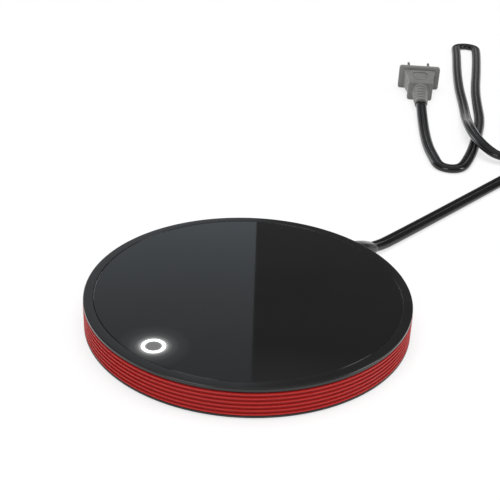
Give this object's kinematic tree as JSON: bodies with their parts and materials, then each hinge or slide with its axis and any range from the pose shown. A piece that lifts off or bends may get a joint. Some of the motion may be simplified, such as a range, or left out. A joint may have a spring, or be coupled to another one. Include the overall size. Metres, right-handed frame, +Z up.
{
  "type": "electric mug warmer",
  "caption": "Low round glass-topped electric mug warmer with a red ribbed rim band, a lit touch key and a flat mains lead with a two-blade plug.",
  "frame": {"origin": "under the middle of the round case, on the surface it stands on", "axes": "+Z up; +Y to the back; the lead leaves at the back right, 46.8 degrees from +X towards +Y; the touch key is at the front left"},
  "size_m": [0.292, 0.4469, 0.0152],
  "materials": {
    "case_black": "moulded, satin",
    "band_red": "satin red, ribbed",
    "bezel_black": "semi gloss",
    "top_glass": "black backed, polished",
    "tape": "matt adhesive",
    "foot_rubber": "matt",
    "screw_steel": "zinc plated",
    "board_green": "solder mask",
    "light_ring": "clear milky, lit",
    "shroud_black": "matt",
    "touch_foam": "conductive foam",
    "led_white": "white chip",
    "plate_aluminium": "rolled",
    "heater_film": "amber film",
    "insulation": "felted fibre",
    "shield_steel": "plated sheet",
    "sensor_bead": "glass bead",
    "cutoff_case": "plated case",
    "terminal_green": "moulded",
    "fuse_ceramic": "ceramic body",
    "cap_yellow": "boxed film",
    "cap_sleeve": "shrunk sleeve",
    "chip_black": "moulded epoxy",
    "terminal_brass": "tinned",
    "socket_white": "moulded",
    "core_brown": "extruded",
    "wire_white": "extruded",
    "wire_red": "silicone sleeve",
    "wire_grey": "extruded",
    "cord_pvc": "extruded, satin",
    "plug_pvc": "moulded, satin",
    "insert_black": "moulded",
    "blade_metal": "plated brass"
  },
  "bodies": {
    "root": {"base_shell": "case_black", "trim_band": "band_red", "top_bezel": "bezel_black", "glass_top": "top_glass", "glass_tape": "tape", "rubber_feet": "foot_rubber", "case_screws": "screw_steel", "key_board": "board_green", "key_light_ring": "light_ring", "key_light_shroud": "shroud_black", "key_touch_pad": "touch_foam", "key_leds": "led_white", "heat_plate": "plate_aluminium", "heating_element": "heater_film", "insulation_pad": "insulation", "heat_shield": "shield_steel", "shield_screws": "screw_steel", "temperature_sensor": "sensor_bead", "thermal_cutoff": "cutoff_case", "control_board": "board_green", "board_screws": "screw_steel", "mains_terminal": "terminal_green", "board_fuse": "fuse_ceramic", "film_capacitor": "cap_yellow", "smoothing_capacitor": "cap_sleeve", "heater_switch": "chip_black", "controller_chip": "chip_black", "heater_terminals": "terminal_brass", "signal_socket": "socket_white", "sheath_end": "cord_pvc", "cord_clamp": "case_black", "clamp_screws": "screw_steel", "strain_relief": "cord_pvc", "mains_cores": "core_brown", "sensor_wires": "wire_white", "cutoff_wires": "wire_red", "key_wires": "wire_grey", "cord_lead": "cord_pvc", "cord_coil": "cord_pvc", "cord_tail": "cord_pvc", "plug_body": "plug_pvc", "plug_insert": "insert_black", "plug_blades": "blade_metal"}
  },
  "joints": []
}
